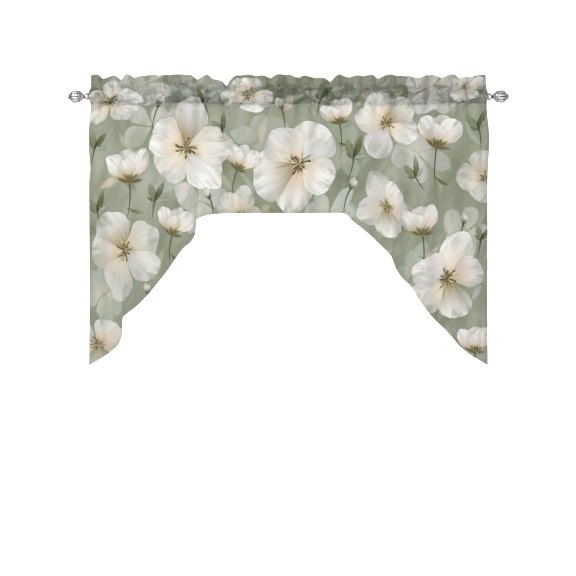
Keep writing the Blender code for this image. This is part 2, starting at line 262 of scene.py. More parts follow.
def pocket_rows(height, side):
    """One wall of the pocket: side is -1 for the front and 1 for the back."""
    half_depth, sway, tucks = curves(POCKET, height)
    slack = np.maximum(-drawn_back, 0.0) if side < 0 else np.maximum(drawn_back, 0.0) * BACK_SLACK
    bulge = crease_relief(seam_across, height) * (1 - sway * (1 + side) / 2)
    room = np.maximum(slack * tucks + bulge, np.where(sway < 0.5, 0.0, -1.0))
    depth = side * (half_depth + room) + (drawn_back * SEAM_TUCK + curl) * sway
    return grid_points(seam_across + side_wave(seam_across, height), depth, height)


def body_rows(down):
    """The hanging cloth: down is 0 at the lower seam and 1 at the hem."""
    height = blend(lower_seam, -hem_drop, down)
    below = np.maximum(lower_seam - height, 0.0)
    low, high, share = between(FLUTES, seam_across)
    flute = blend(blend(low[:, 1], low[:, 2], down), blend(high[:, 1], high[:, 2], down), ease(share))
    pucker = blend(drawn_soft, drawn_back, np.exp(-below / PINCH_REACH)) * SEAM_TUCK
    depth = pucker * np.exp(-((below / PUCKER_REACH) ** 1.3)) + curl
    depth += flute * np.cos(2 * math.pi * share) * ease(below / FLUTE_START)
    depth += hem_depth * down**HEM_SWING - crease_relief(seam_across, height)
    across = blend(seam_across, hem_across, down**HEM_SHIFT)
    return grid_points(across + side_wave(seam_across, height) * (1.0 - down), depth, height)


def outward(grid):
    """The direction out of the printed side at each point of a grid of rows along the cloth."""
    normals = np.cross(np.gradient(grid, axis=0), np.gradient(grid, axis=1))
    return normals / np.linalg.norm(normals, axis=2, keepdims=True)


# Rows run from the end of the turned-over top, up the back, over the frill's edge, then down the
# front to the hem. The last ones keep an even distance from the hem, along its whole slope.
hem_slope = np.abs(np.gradient(hem_drop) / np.gradient(hem_across + shares * 1e-6))
hem_stretch = np.minimum(np.sqrt(1 + hem_slope**2), MOST_STRETCH)
hem_rows = EDGE_STEPS[::-1, None] * hem_stretch
whole_drop = lower_seam + hem_drop
main_down = np.linspace(0, 1, BODY_ROWS + 1)[:-1, None] ** 1.25 * (1 - hem_rows[0] / whole_drop)
down = np.concatenate((main_down, 1 - hem_rows / whole_drop))
back_down = np.linspace(flap, 0.0, FLAP_ROWS + 1)[:, None] / whole_drop
pocket_line = np.linspace(upper_seam, lower_seam, POCKET_ROWS + 2)
pocket_heights = pocket_line[1:-1, None]
back_middle = np.vstack((body_rows(back_down), pocket_rows(pocket_heights[::-1], 1), frill_rows(BACK_FRILL)))
front_middle = np.vstack((frill_rows(FRONT_FRILL), pocket_rows(pocket_heights, -1), body_rows(down)))
BACK_SEAM, BACK_UPPER = FLAP_ROWS, FLAP_ROWS + 1 + POCKET_ROWS
FRONT_UPPER, FRONT_SEAM = len(FRONT_FRILL) - 1, len(FRONT_FRILL) + POCKET_ROWS

# The hems are three layers thick and the end of the turned-over top is two.
side_hem = 1 - ease((column_edge - HEM_WIDTH + 0.0006) / 0.0012)
thickness = blend(CLOTH, HEM_THICKNESS, side_hem)
back_thick = np.tile(thickness, (len(back_middle), 1))
front_thick = np.tile(thickness, (len(front_middle), 1))
front_thick[-len(EDGE_STEPS) + 1 :] = HEM_THICKNESS
back_thick[: BACK_SEAM + 1] = np.maximum(back_thick[: BACK_SEAM + 1], 2 * CLOTH)


def layer(middle, thick, apart):
    """A layer moved off the middle of the two, by each row's share of half their distance."""
    gap = (thick + SIDE_BY_SIDE) / 2 * apart[:, None]
    return middle + outward(middle) * gap[:, :, None]


front_apart = np.zeros(len(front_middle))
front_apart[: FRONT_UPPER + 1] = 1.0
front_apart[FRONT_SEAM : FRONT_SEAM + MEETING_ROWS] = np.linspace(1, 0, MEETING_ROWS)
back_apart = np.zeros(len(back_middle))
back_apart[: BACK_SEAM + 1] = np.linspace(END_SPREAD, 1.0, BACK_SEAM + 1)
back_apart[BACK_UPPER:] = 1.0
front = layer(front_middle, front_thick, front_apart)
back = layer(back_middle, back_thick, back_apart)
fold_edge = (front[:1] + back[-1:]) / 2 + np.array((0.0, 0.0, CLOTH * 0.8))
middle = np.concatenate((back, fold_edge, front))
FIRST_FRONT = len(back) + 1

# The pull of the shirring lets the pocket's lower seam wander up and down a little.
wander_at = np.arange(-0.66, 0.661, 0.033)
wander = smooth(wander_at, rng.uniform(-0.0030, 0.0024, len(wander_at)), middle[..., 0])
middle[..., 2] += wander * np.exp(-(((middle[..., 2] - lower_seam) / 0.013) ** 2))
normals = outward(middle)
half_thick = normals * np.concatenate((back_thick, front_thick[:1], front_thick))[:, :, None] / 2
printed = middle + half_thick
reverse = middle - half_thick

# Where each point lies on the flat cloth: across from its middle, and down from the frill's edge.
pocket_half = curves(POCKET, pocket_line)[0]
pocket_run = np.cumsum(np.hypot(np.diff(pocket_line), np.diff(pocket_half)))[:, None]
seam_run = frill_height + pocket_run[-1, 0]
level = np.ones(len(shares))
flat_down = np.vstack((
    -seam_run - back_down * whole_drop,
    -(frill_height + pocket_run[-2::-1]) * level,
    frill_height * (BACK_FRILL - 1) * level,
    0 * level,
    frill_height * (1 - FRONT_FRILL) * level,
    (frill_height + pocket_run[:-1]) * level,
    seam_run + down * whole_drop,
))
flat_across = np.tile((shares - 0.5) * FLAT_WIDTH, (len(middle), 1))

rows, columns = middle.shape[:2]
count = rows * columns
index = np.arange(count).reshape(rows, columns)
border = np.concatenate((index[0, :], index[1:, -1], index[-1, -2::-1], index[-2:0:-1, 0]))
beside = np.roll(border, -1)
printed_faces = np.stack((index[:-1, :-1], index[1:, :-1], index[1:, 1:], index[:-1, 1:]), 2).reshape(-1, 4)
reverse_faces = printed_faces[:, (0, 3, 2, 1)] + count
border_faces = np.column_stack((border, beside, beside + count, border + count))
faces = np.concatenate((printed_faces, reverse_faces, border_faces))


def placed(name, data):
    """Puts a new object in the scene, at the origin."""
    made = bpy.data.objects.new(name, data)
    bpy.context.scene.collection.objects.link(made)
    return made


drape_mesh = bpy.data.meshes.new("drape_cloth")
drape_mesh.from_pydata(np.concatenate((printed.reshape(-1, 3), reverse.reshape(-1, 3))), [], faces.tolist())
drape_mesh.shade_smooth()
drape_mesh.update()
drape = placed("drape_cloth", drape_mesh)

# ---- The print, laid out on the flat cloth ----
# Large white blossoms, half-open cups on thin stems, buds, sprigs and leaves over pale, blurred
# ones, all printed on the panel before it was sewn. A painted shape is stored on the cloth's faces
# as distances from its own axis and outline, and the dye's nodes colour it in.

corners = np.stack((flat_across.ravel(), flat_down.ravel()), 1)[faces % count]
corners_middle = corners.mean(1)

Petal = namedtuple("Petal", "layer heart turn length width tilt squash point bend tint core strength seed")
Ribbon = namedtuple("Ribbon", "layer points widths tint edge_tint strength")
Tuft = namedtuple("Tuft", "heart size turn tilt squash seed")
PETAL_LAYERS = ("ghost", "under", "lower", "upper", "top")
RIBBON_LAYERS = ("washes", "leaves", "stems", "sepals")
petals, ribbons, tufts = [], [], []


def tone(red, green, blue):
    """A colour named by its 0 to 255 screen values, as light."""
    return tuple(((v / 255 + 0.055) / 1.055) ** 2.4 if v > 10 else v / 3294.6 for v in (red, green, blue))


WHITE = tone(240, 238, 233)
MILK = tone(229, 226, 219)
PEARL = tone(213, 210, 208)
CREAM = tone(226, 214, 190)
PEACH = tone(219, 198, 170)
OCHRE = tone(172, 150, 96)
UMBER = tone(158, 140, 98)
MOSS = tone(98, 94, 54)
BARK = tone(118, 104, 64)
MIST = tone(192, 198, 190)
HAZE = tone(176, 185, 172)
PALE_LEAF = tone(128, 138, 102)
LEAF = tone(90, 100, 62)
DEEP_LEAF = tone(66, 75, 42)
DARK_STEM = tone(48, 52, 34)

# The waves of a petal's outline: how many to a turn, and how high they may be.
PETAL_WAVES = ((2, 0.065), (3, 0.060), (5, 0.045), (8, 0.022), (15, 0.012))
WIDEST = 0.60  # a petal is widest at this share of its length
TUFT_REACH = 0.46  # a tuft's place on the cloth, as a share of its blossom's size
SPARE = 0.03  # how far past a shape its outline's softness may reach
LEAF_STEPS = 10
STEM_STEPS = 16


def spun(x, y, degrees):
    """Turns places about the origin."""
    angle = math.radians(degrees)
    return x * math.cos(angle) - y * math.sin(angle), x * math.sin(angle) + y * math.cos(angle)


def turned(points, heart, turn, tilt, squash):
    """Points about a blossom's heart, in its own plane: turned, and leaning away along the tilt."""
    near, far = spun(points[..., 0] - heart[0], heart[1] - points[..., 1], tilt)
    return spun(*spun(near, far / squash, -tilt), turn)


def petal_field(petal, points):
    """Along, across and distance inside the outline of one petal."""
    aside, along = turned(points, petal.heart, petal.turn, petal.tilt, petal.squash)
    along, aside = along / petal.length, aside / petal.width
    tip = (along - WIDEST) / np.where(along < WIDEST, WIDEST, 1 - WIDEST)
    aside = (aside + petal.bend * along**2) / blend(0.38, 1.0, ease(along / WIDEST))
    angle = np.arctan2(aside, tip)
    wave = np.random.default_rng(petal.seed).uniform(-1, 1, 10)
    outline = 1 + petal.point * np.exp(-((angle / 0.42) ** 2))
    for k, (order, height) in enumerate(PETAL_WAVES):
        outline += height * wave[2 * k] * np.sin(order * angle + 3 * wave[2 * k + 1])
    inside = (outline - np.hypot(tip, aside)) * min(petal.length / 2, petal.width)
    return np.stack((along, aside, inside), -1)


def ribbon_field(ribbon, points):
    """Signed distance from the ribbon's axis, share along it and half width there."""
    line = np.array(ribbon.points)
    steps = np.diff(line, axis=0)
    lengths = np.linalg.norm(steps, axis=1)
    runs = np.concatenate(([0.0], np.cumsum(lengths)))
    best = np.full(points.shape[:-1], 1e9)
    found = np.zeros((*points.shape[:-1], 3))
    for k, step in enumerate(steps):
        apart = points - line[k]
        share = np.clip((apart @ step) / lengths[k] ** 2, 0, 1)
        distance = np.linalg.norm(apart - share[..., None] * step, axis=-1)
        side = np.sign(step[0] * apart[..., 1] - step[1] * apart[..., 0])
        width = blend(ribbon.widths[k], ribbon.widths[k + 1], share)
        field = np.stack((distance * side, (runs[k] + share * lengths[k]) / runs[-1], width), -1)
        closer = distance < best
        found[closer] = field[closer]
        best = np.where(closer, distance, best)
    return found


def tuft_field(tuft, points):
    """Place about a blossom's heart, in shares of its size, and the tuft's seed."""
    x, y = turned(points, tuft.heart, tuft.turn, tuft.tilt, tuft.squash)
    return np.stack((x / tuft.size, y / tuft.size, np.full(x.shape, tuft.seed)), -1)


def nearness(shape, field):
    """How far inside a shape a face lies: the shape with the most there owns the face."""
    if isinstance(shape, Petal):
        return field[..., 2]
    if isinstance(shape, Ribbon):
        return field[..., 2] - np.abs(field[..., 0])
    return (TUFT_REACH - np.hypot(field[..., 0], field[..., 1])) * shape.size


def reach_of(shape):
    """A circle that holds a shape: its middle and its radius."""
    if isinstance(shape, Ribbon):
        line = np.array(shape.points)
        centre = (line.min(0) + line.max(0)) / 2
        return centre, np.linalg.norm(line - centre, axis=1).max() + SPARE
    size = shape.length if isinstance(shape, Petal) else shape.size
    return np.array(shape.heart), size * 1.25 + SPARE


def keep(mesh, name, kind, domain, values):
    """Stores values on a mesh under a name that its finish reads."""
    stored = mesh.attributes.new(name, kind, domain)
    what = {"FLOAT": "value", "FLOAT_VECTOR": "vector", "FLOAT_COLOR": "color"}[kind]
    stored.data.foreach_set(what, np.asarray(values, np.float32).ravel())


def print_layer(name, shapes, field_of, margin, colours):
    """Stores one layer of shapes on the cloth: a field at each corner, and colours on each face."""
    owner = np.full(len(faces), -1)
    best = np.full(len(faces), -margin)
    for k, shape in enumerate(shapes):
        centre, reach = reach_of(shape)
        close = np.flatnonzero(np.linalg.norm(corners_middle - centre, axis=1) < reach)
        near = nearness(shape, field_of(shape, corners_middle[close]))
        won = near > best[close]
        owner[close[won]] = k
        best[close[won]] = near[won]
    field = np.full((len(faces), 4, 3), (9.0, 0.0, -1.0), np.float32)
    painted = {part: np.zeros((len(faces), 4)) for part in colours}
    for k, shape in enumerate(shapes):
        mine = owner == k
        field[mine] = field_of(shape, corners[mine])
        for part, pick in colours.items():
            painted[part][mine] = pick(shape)
    keep(drape_mesh, name, "FLOAT_VECTOR", "CORNER", field)
    for part, values in painted.items():
        keep(drape_mesh, f"{name}_{part}", "FLOAT_COLOR", "FACE", values)


def add_petal(*values):
    petals.append(Petal(*values))


def curved(start, turn, length, bend, steps):
    """Points from start, heading at turn degrees from straight up and bending as they go."""
    points = [np.array(start)]
    for k in range(steps):
        angle = math.radians(turn + bend * (k + 0.5) / steps)
        points.append(points[-1] + length / steps * np.array((math.sin(angle), -math.cos(angle))))
    return points


def add_leaf(layer, start, turn, length, half_width, bend, tint, edge_tint, strength):
    """A leaf, or a stroke: narrow at its foot, then round and pointed."""
    points = curved(start, turn, length, bend, LEAF_STEPS)
    shares = [min(k / LEAF_STEPS * 0.93 + 0.07, 1.0) for k in range(LEAF_STEPS + 1)]
    widths = [half_width * math.sin(math.pi * share) ** 0.7 for share in shares]
    ribbons.append(Ribbon(layer, points, widths, tint, edge_tint, strength))


def add_stem(start, turn, length, bend):
    points = curved(start, turn, length, bend, STEM_STEPS)
    widths = [blend(0.0026, 0.0014, k / STEM_STEPS) for k in range(STEM_STEPS + 1)]
    ribbons.append(Ribbon("stems", points, widths, DARK_STEM, LEAF, 0.92))


def add_open_blossom(across, drop, size, turn, tilt, squash, strength, seed):
    """Five loose petals seen nearly face on, overlapping in turn, with a tuft at the heart."""
    jitter = np.random.default_rng(seed)
    for k, layer in enumerate(("under", "lower", "under", "lower", "upper")):
        add_petal(
            layer, (across, drop), turn + 72 * k + jitter.uniform(-14, 14),
            size * jitter.uniform(0.78, 1.12), size * jitter.uniform(0.38, 0.52), tilt, squash,
            jitter.choice((-0.10, 0.0, 0.16, 0.30)), jitter.uniform(-0.35, 0.35),
            (WHITE, PEARL, MILK, WHITE, MILK)[(k + seed) % 5],
            (CREAM, PEACH, UMBER, CREAM, PEARL)[(k + 2 * seed) % 5], strength, seed * 7 + k,
        )
    tufts.append(Tuft((across, drop), size, turn, tilt, squash, seed))


def add_cup(across, drop, size, turn, seed):
    """A half-open blossom seen from the side: a back petal, one at each side and a low front one."""
    foot = (across, drop)
    for layer, lean, length, width, point, tint, core in (
        ("under", 4, 0.96, 0.36, 0.05, PEARL, CREAM),
        ("lower", -30, 1.00, 0.33, 0.10, WHITE, OCHRE),
        ("upper", 28, 1.04, 0.36, 0.06, WHITE, PEACH),
        ("top", -6, 0.66, 0.26, 0.12, MILK, OCHRE),
    ):
        add_petal(
            layer, foot, turn + lean, size * length, size * width, 0, 1.0,
            point, -lean / 150, tint, core, 1.0, seed * 5 + lean + 40,
        )
    for lean, length in ((-70, 0.46), (-34, 0.34), (-8, 0.26), (20, 0.32), (48, 0.40), (80, 0.44)):
        add_leaf("sepals", foot, turn + lean, size * length, size * 0.062, 14, MOSS, BARK, 0.95)


def add_bud(across, drop, size, turn, seed):
    """A closed bud: two wrapped petals in a green case."""
    foot = (across, drop)
    for layer, lean, length, width, tint in (("under", -8, 1.0, 0.27, CREAM), ("lower", 9, 0.9, 0.22, MILK)):
        add_petal(
            layer, foot, turn + lean, size * length, size * width, 0, 1.0,
            0.12, 0.0, tint, MOSS, 0.95, seed * 3 + lean + 10,
        )
    for lean, length in ((-20, 0.62), (2, 0.5), (22, 0.66)):
        add_leaf("sepals", foot, turn + lean, size * length, size * 0.07, -8, LEAF, DARK_STEM, 1.0)


def add_ghost(across, drop, size, turn, squash, strength, seed):
    """A pale blossom behind the others, with its heart washed out."""
    jitter = np.random.default_rng(seed)
    tint = PEARL if strength > 0.84 else (MIST, HAZE, PEARL)[seed % 3]
    for k in range(5):
        add_petal(
            "ghost", (across, drop), turn + 72 * k + jitter.uniform(-16, 16),
            size * jitter.uniform(0.7, 1.2), size * jitter.uniform(0.26, 0.44), 20 * seed, squash,
            jitter.choice((-0.08, 0.05, 0.2)), jitter.uniform(-0.4, 0.4), tint, CREAM,
            strength, seed * 11 + k,
        )


def add_sprig(across, drop, size, turn, seed):
    """Upright leaves round a dark closed bud, on a short stem."""
    jitter = np.random.default_rng(seed)
    foot = (across, drop)
    for lean, length, width, tint, edge in (
        (-26, 0.95, 0.180, PALE_LEAF, LEAF),
        (18, 1.10, 0.150, LEAF, DEEP_LEAF),
        (56, 0.66, 0.110, HAZE, LEAF),
        (-66, 0.50, 0.085, LEAF, DEEP_LEAF),
    ):
        add_leaf(
            "leaves", foot, turn + lean + jitter.uniform(-8, 8), size * length, size * width,
            jitter.uniform(-25, 25), tint, edge, 0.9,
        )
    add_leaf("sepals", foot, turn + 2, size * 0.52, size * 0.085, 10, DARK_STEM, LEAF, 0.9)
    add_stem(foot, turn + 176, size * 0.9, jitter.uniform(-30, 30))


# Across and down on the flat cloth, size, turn, tilt, how much the lean narrows it, strength.
OPEN_BLOSSOMS = [
    (-0.352, 0.236, 0.152, 12, 40, 0.88, 1), (0.04, 0.286, 0.168, 40, -30, 0.92, 1),
    (0.336, 0.158, 0.124, -20, 15, 0.84, 0.95), (-0.56, 0.56, 0.14, 55, 60, 0.86, 0.78),
    (0.546, 0.646, 0.142, 5, -50, 0.9, 1), (-0.14, 0.07, 0.09, 30, 0, 0.74, 0.92),
    (0.34, 0.42, 0.104, -35, 70, 0.82, 0.86), (-0.15, 0.452, 0.09, 20, 30, 0.9, 0.66),
    (-0.61, 0.09, 0.096, 0, -20, 0.8, 0.92), (-0.655, 0.85, 0.108, 25, 0, 0.86, 0.72),
    (0.676, 0.33, 0.1, 60, 45, 0.84, 0.7), (0.61, 0.04, 0.08, 10, 0, 0.72, 0.88),
]
# Across and down of the cup's foot, size, turn, and the stem's length and bend.
CUPS = [
    (-0.545, 0.345, 0.108, -8, 0.15, 30), (-0.172, 0.305, 0.084, 20, 0.12, -35),
    (0.176, 0.16, 0.08, -14, 0.11, 25), (0.51, 0.235, 0.108, 10, 0.17, -22),
    (-0.395, 0.51, 0.092, 14, 0.11, -30), (0.462, 0.51, 0.094, -10, 0.13, 20),
    (0.64, 0.88, 0.086, 0, 0.08, 20),
]
# Across, down, size, turn, and the stem's length and bend.
BUDS = [
    (-0.45, 0.11, 0.046, 24, 0.12, -30), (-0.255, 0.4, 0.04, -30, 0.08, 40),
    (-0.02, 0.12, 0.044, -18, 0.09, 30), (0.215, 0.37, 0.042, 28, 0.09, -40),
    (0.6, 0.48, 0.04, 18, 0.08, -30), (-0.47, 0.7, 0.038, -14, 0.07, 30),
]
# Across, down, size, turn.
SPRIGS = [
    (-0.458, 0.405, 0.066, 14), (-0.225, 0.19, 0.062, -18), (0.225, 0.27, 0.074, 8),
    (0.44, 0.33, 0.064, -22), (-0.665, 0.24, 0.062, 22), (0.65, 0.18, 0.066, -10),
    (-0.655, 0.44, 0.064, -6), (0.11, 0.085, 0.06, 24), (0.66, 0.53, 0.06, 16),
    (-0.29, 0.1, 0.056, -30),
]
# Across, down, size, turn, narrowing, strength.
GHOSTS = [
    (-0.47, 0.17, 0.12, 20, 0.8, 0.6), (-0.08, 0.19, 0.11, 50, 0.7, 0.55),
    (0.18, 0.25, 0.1, 10, 0.8, 0.45), (0.44, 0.25, 0.12, 35, 0.7, 0.6),
    (-0.29, 0.4, 0.12, 0, 0.8, 0.85), (-0.64, 0.7, 0.11, 30, 0.8, 0.8),
    (0.61, 0.5, 0.11, 15, 0.7, 0.65), (0.15, 0.44, 0.1, 45, 0.8, 0.8),
    (0.44, 0.62, 0.09, 25, 0.8, 0.75), (0.5, 0.035, 0.135, 60, 0.7, 0.85),
    (-0.3, 0.04, 0.11, 15, 0.7, 0.6), (-0.5, 0.025, 0.13, 40, 0.7, 0.9),
]
for seed, row in enumerate(OPEN_BLOSSOMS, 1):
    add_open_blossom(*row, seed)
for table, add_head, first_seed in ((CUPS, add_cup, 40), (BUDS, add_bud, 60)):
    for seed, (across, drop, size, turn, stem, bend) in enumerate(table, first_seed):
        add_head(across, drop, size, turn, seed)
        add_stem((across, drop), turn + 180, stem, bend)
        if table is CUPS:
            beside_stem = (across, drop + stem * 0.55)
            add_leaf("leaves", beside_stem, turn + 130, size * 0.5, size * 0.07, -40, LEAF, PALE_LEAF, 0.9)
for seed, row in enumerate(SPRIGS, 30):
    add_sprig(*row, seed)
for seed, row in enumerate(GHOSTS, 80):
    add_ghost(*row, seed)
# Loose single strokes of thin colour, all over, in rough rows so that few of them meet.
STROKE_ROWS, STROKES_A_ROW = 8, 13
STROKE_TINTS = (
    (MIST, HAZE), (PEACH, CREAM), (HAZE, PALE_LEAF), (CREAM, PEACH), (PALE_LEAF, LEAF), (HAZE, MIST),
)
jitter = np.random.default_rng(4)
for k in range(STROKE_ROWS * STROKES_A_ROW):
    across = -0.66 + (k % STROKES_A_ROW) * 0.11 + jitter.uniform(-0.03, 0.03)
    drop = -0.02 + (k // STROKES_A_ROW) * 0.125 + jitter.uniform(-0.03, 0.03)
    add_leaf(
        "washes", (across, drop), jitter.uniform(-75, 75), jitter.uniform(0.045, 0.100),
        jitter.uniform(0.007, 0.016), jitter.uniform(-50, 50), *STROKE_TINTS[k % len(STROKE_TINTS)],
        jitter.uniform(0.25, 0.70),
    )

petal_colours = {"tint": lambda p: (*p.tint, p.strength), "core": lambda p: (*p.core, (p.seed * 0.137) % 1.0)}
ribbon_colours = {"tint": lambda r: (*r.tint, r.strength), "edge": lambda r: (*r.edge_tint, 1.0)}
for names, shapes, field_of, margin, colours in (
    (PETAL_LAYERS, petals, petal_field, 0.014, petal_colours),
    (RIBBON_LAYERS, ribbons, ribbon_field, 0.012, ribbon_colours),
):
    for name in names:
        print_layer(name, [s for s in shapes if s.layer == name], field_of, margin, colours)
print_layer("tufts", tufts, tuft_field, 0.0, {})

cloth_map = drape_mesh.uv_layers.new(name="cloth")
cloth_map.data.foreach_set("uv", corners.astype(np.float32).ravel())
order = np.arange(len(faces))
on_reverse = (order >= len(printed_faces)) & (order < 2 * len(printed_faces))
keep(drape_mesh, "reverse", "FLOAT", "FACE", on_reverse)
# How far each point is from the nearest folded edge, for the hems.
from_edge = np.tile(column_edge, (rows, 1))
above_hem = (flat_down[-1] - flat_down[FIRST_FRONT:]) / hem_stretch
from_edge[FIRST_FRONT:] = np.minimum(from_edge[FIRST_FRONT:], above_hem)
keep(drape_mesh, "hem", "FLOAT", "POINT", np.tile(from_edge.ravel(), 2))

# ---- The dyed cloth ----
# Plain-woven matt cotton. The print is soaked into the face side and shows faintly, paler, on
# the reverse. The ground is a mottled sage green with broad brush marks.


class Dye:
    """A socket of a material's node tree. Sums written with it add Math nodes to that tree."""

    def __init__(self, tree, socket=None):
        self.tree = tree
        self.socket = socket

    def node(self, kind, settings, values):
        """Adds a node, sets it up, then gives its sockets, by name or place, values or links."""
        made = self.tree.nodes.new(kind)
        stops = settings.pop("stops", None)
        for name, value in settings.items():
            setattr(made, name, value)
        if stops:
            ramp = made.color_ramp
            while len(ramp.elements) < len(stops):
                ramp.elements.new(1.0)
            for element, (place, colour) in zip(ramp.elements, stops):
                element.position = place
                element.color = (*colour, 1.0)
        sockets = [s for s in made.inputs if s.enabled]
        for key, value in values.items():
            feed(sockets[key] if isinstance(key, int) else next(s for s in sockets if s.name == key), value)
        return Dye(self.tree, next(s for s in made.outputs if s.enabled))

    def output(self, name):
        return Dye(self.tree, self.socket.node.outputs[name])

    def math(self, operation, *terms):
        return self.node("ShaderNodeMath", {"operation": operation}, dict(enumerate(terms)))

    __add__ = __radd__ = lambda self, other: self.math("ADD", self, other)
    __sub__ = lambda self, other: self.math("SUBTRACT", self, other)
    __rsub__ = lambda self, other: self.math("SUBTRACT", other, self)
    __mul__ = __rmul__ = lambda self, other: self.math("MULTIPLY", self, other)
    __truediv__ = lambda self, other: self.math("DIVIDE", self, other)
    __pow__ = lambda self, other: self.math("POWER", self, other)
    __abs__ = lambda self: self.math("ABSOLUTE", self)
    __gt__ = lambda self, other: self.math("GREATER_THAN", self, other)


def feed(socket, value):
    """Links a dye to a socket, or sets a plain value on it."""
    if isinstance(value, Dye):
        value.tree.links.new(value.socket, socket)
    else:
        socket.default_value = value


def new_finish(name):
    """A material, and the bare tree that its first nodes are added to."""
    finish = bpy.data.materials.new(name)
    finish.use_nodes = True
    return finish, Dye(finish.node_tree)


def give(finish, values):
    """Feeds the sockets of a finish's shader."""
    for name, value in values.items():
        feed(finish.node_tree.nodes["Principled BSDF"].inputs[name], value)


def rise(value, low, high):
    """0 below low, 1 above high and a soft slope between them."""
    settings = {"interpolation_type": "SMOOTHSTEP"}
    return value.node("ShaderNodeMapRange", settings, {"Value": value, "From Min": low, "From Max": high})


def fade(value, low, high):
    return 1 - rise(value, low, high)


def mixed(share, first, second, way="MIX"):
    """One colour laid over another."""
    settings = {"data_type": "RGBA", "blend_type": way}
    first, second = ((*c, 1.0) if isinstance(c, tuple) else c for c in (first, second))
    return share.node("ShaderNodeMix", settings, {"Factor": share, "A": first, "B": second})


def coats(colour, *washes):
    """A colour under thin washes, laid on in turn: each one's share, its tint, and how it mixes."""
    for share, tint, *way in washes:
        colour = mixed(share, colour, tint, *way)
    return colour


def noise(at, scale, detail=2.0, roughness=0.5, swirl=0.0):
    values = {"Vector": at, "Scale": scale, "Detail": detail, "Roughness": roughness, "Distortion": swirl}
    return at.node("ShaderNodeTexNoise", {"noise_dimensions": "3D"}, values)


def vector(x, y, z):
    tree = next(v for v in (x, y, z) if isinstance(v, Dye))
    return tree.node("ShaderNodeCombineXYZ", {}, {"X": x, "Y": y, "Z": z})


def parts(value):
    split = value.node("ShaderNodeSeparateXYZ", {}, {"Vector": value})
    return split, split.output("Y"), split.output("Z")


def kept(tree, name, what="Fac"):
    """What is stored on the mesh under a name."""
    return tree.node("ShaderNodeAttribute", {"attribute_name": name}, {}).output(what)


def kept_colour(tree, name):
    """A stored colour, and the number stored beside it."""
    return kept(tree, name, "Color"), kept(tree, name, "Alpha")


def dye_petals(under, name, wobble):
    """Paints one layer of petals over the colour below."""
    along, aside, inside = parts(kept(under, name, "Vector"))
    tint, strength = kept_colour(under, f"{name}_tint")
    core, seed = kept_colour(under, f"{name}_core")
    inside = inside + wobble * 0.006
    brush = noise(vector(along * 0.9, aside * 2.2, seed * 40), 1.9, 4.0, 0.58, 0.6)
    clouds = noise(vector(along * 1.4 + 5, aside * 1.3, seed * 40), 1.8, 2.0)
    side = aside * ((seed > 0.5) * 2 - 1) + (clouds - 0.5) * 1.1
    reach = along + (brush - 0.5) * 0.8
    blur = rise(clouds, 0.42, 0.66) * 0.0065 + 0.0006
    colour = coats(
        tint,
        (rise(brush, 0.38, 0.68) * 0.62, tone(201, 199, 199)),
        (rise(side, 0.00, 0.85) * 0.60, tone(172, 176, 172)),
        (rise(clouds, 0.54, 0.74) * 0.45, CREAM),
        (fade(brush, 0.28, 0.44) * 0.50, WHITE),
        (fade(reach, 0.12, 0.84) * 0.88, core),
        (fade(reach, 0.02, 0.36) * 0.62, OCHRE),
        (fade(reach, -0.03, 0.20) * 0.80, MOSS),
        (fade(inside, 0.0004, 0.0030) * fade(blur, 0.0006, 0.004) * 0.50, WHITE),
    )
    shadow = rise(inside, -0.008, 0.001) * strength * 0.20
    thin = 1 - rise(clouds, 0.44, 0.68) * rise(along, 0.30, 0.95) * 0.50
    cover = rise(inside, blur * -0.8, blur) * strength * thin
    return coats(under, (shadow, tone(84, 92, 72)), (cover, colour))


def dye_ghosts(under, wobble, strokes):
    along, _, inside = parts(kept(under, "ghost", "Vector"))
    tint, strength = kept_colour(under, "ghost_tint")
    brush = rise(strokes, 0.36, 0.64)
    heart = fade(along + wobble * 0.8, 0.10, 0.70) * 0.55
    colour = coats(tint, (heart, kept(under, "ghost_core", "Color")), (brush * 0.5, HAZE))
    inside = inside + wobble * 0.012
    return mixed(rise(inside, -0.002, 0.005) * strength * (1 - brush * 0.45), under, colour)


def dye_ribbons(under, name, wobble, soft):
    away, along, width = parts(kept(under, name, "Vector"))
    tint, strength = kept_colour(under, f"{name}_tint")
    inside = width - abs(away) + wobble * (0.0012 + soft * 1.6)
    out = abs(away) / (width + 0.0003)
    colour = coats(
        tint,
        (rise(out + wobble * 1.8, 0.1, 1.0), kept(under, f"{name}_edge", "Color")),
        (fade(out, 0.02, 0.16) * fade(along, 0.5, 1.0) * (1 - soft * 280) * 0.6, DARK_STEM),
    )
    dry = 1 - rise(along + wobble * 1.5, 0.45, 1.1) * 0.6
    return mixed(rise(inside, -0.0004 - soft, 0.0006 + soft) * strength * dry, under, colour)


